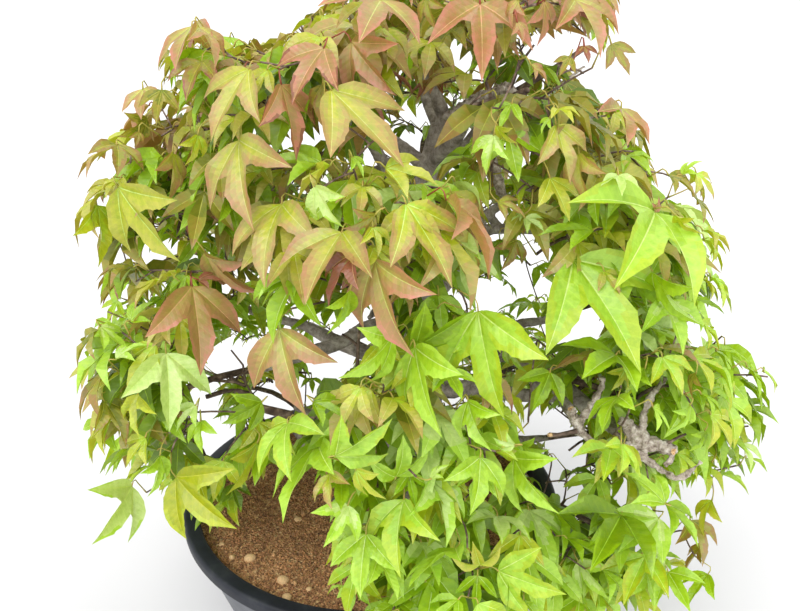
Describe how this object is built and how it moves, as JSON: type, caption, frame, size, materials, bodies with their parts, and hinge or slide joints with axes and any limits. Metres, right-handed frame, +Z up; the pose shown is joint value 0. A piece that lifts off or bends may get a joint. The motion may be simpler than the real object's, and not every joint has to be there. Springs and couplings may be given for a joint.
{
  "type": "potted maple bonsai",
  "caption": "Maple bonsai with drooping three-lobed leaves, green below and bronze at the top, in a round dark pot of granular soil.",
  "frame": {"origin": "middle of the pot's flat underside, where it stands", "axes": "+Z up along the pot's axis, +Y towards the back of the tree, +X to the right seen from its front"},
  "size_m": [0.4543, 0.4248, 0.5225],
  "materials": {
    "pot": "satin dark blue-grey plastic",
    "soil": "rough granular soil",
    "bark": "rough grey-brown bark",
    "green_leaves": "soft satin leaf",
    "olive_leaves": "soft satin leaf",
    "bronze_leaves": "soft satin leaf"
  },
  "bodies": {
    "root": {"pot": "pot", "soil": "soil", "trunk": "bark", "bough_low_1": "bark", "bough_low_2": "bark", "bough_low_3": "bark", "bough_low_4": "bark", "bough_low_5": "bark", "bough_low_6": "bark", "bough_low_7": "bark", "bough_side_1": "bark", "bough_middle_1": "bark", "bough_middle_2": "bark", "bough_middle_3": "bark", "bough_middle_4": "bark", "bough_middle_5": "bark", "bough_middle_6": "bark", "bough_middle_7": "bark", "bough_high_1": "bark", "bough_high_2": "bark", "bough_high_3": "bark", "bough_high_4": "bark", "bough_high_5": "bark", "bough_high_6": "bark", "bough_top_1": "bark", "bough_top_2": "bark", "bough_top_3": "bark", "bough_top_4": "bark", "bough_top_5": "bark", "bough_apex_1": "bark", "foliage_low_1": "green_leaves", "foliage_low_2": "green_leaves", "foliage_low_3": "green_leaves", "foliage_low_4": "green_leaves", "foliage_low_5": "green_leaves", "foliage_low_6": "green_leaves", "foliage_low_7": "green_leaves", "foliage_side_1": "green_leaves", "foliage_middle_1": "green_leaves", "foliage_middle_2": "green_leaves", "foliage_middle_3": "green_leaves", "foliage_middle_4": "green_leaves", "foliage_middle_5": "green_leaves", "foliage_middle_6": "green_leaves", "foliage_middle_7": "green_leaves", "foliage_high_1": "olive_leaves", "foliage_high_2": "olive_leaves", "foliage_high_3": "olive_leaves", "foliage_high_4": "olive_leaves", "foliage_high_5": "olive_leaves", "foliage_high_6": "olive_leaves", "foliage_top_1": "bronze_leaves", "foliage_top_2": "bronze_leaves", "foliage_top_3": "bronze_leaves", "foliage_top_4": "bronze_leaves", "foliage_top_5": "bronze_leaves", "foliage_apex_1": "bronze_leaves"}
  },
  "joints": []
}
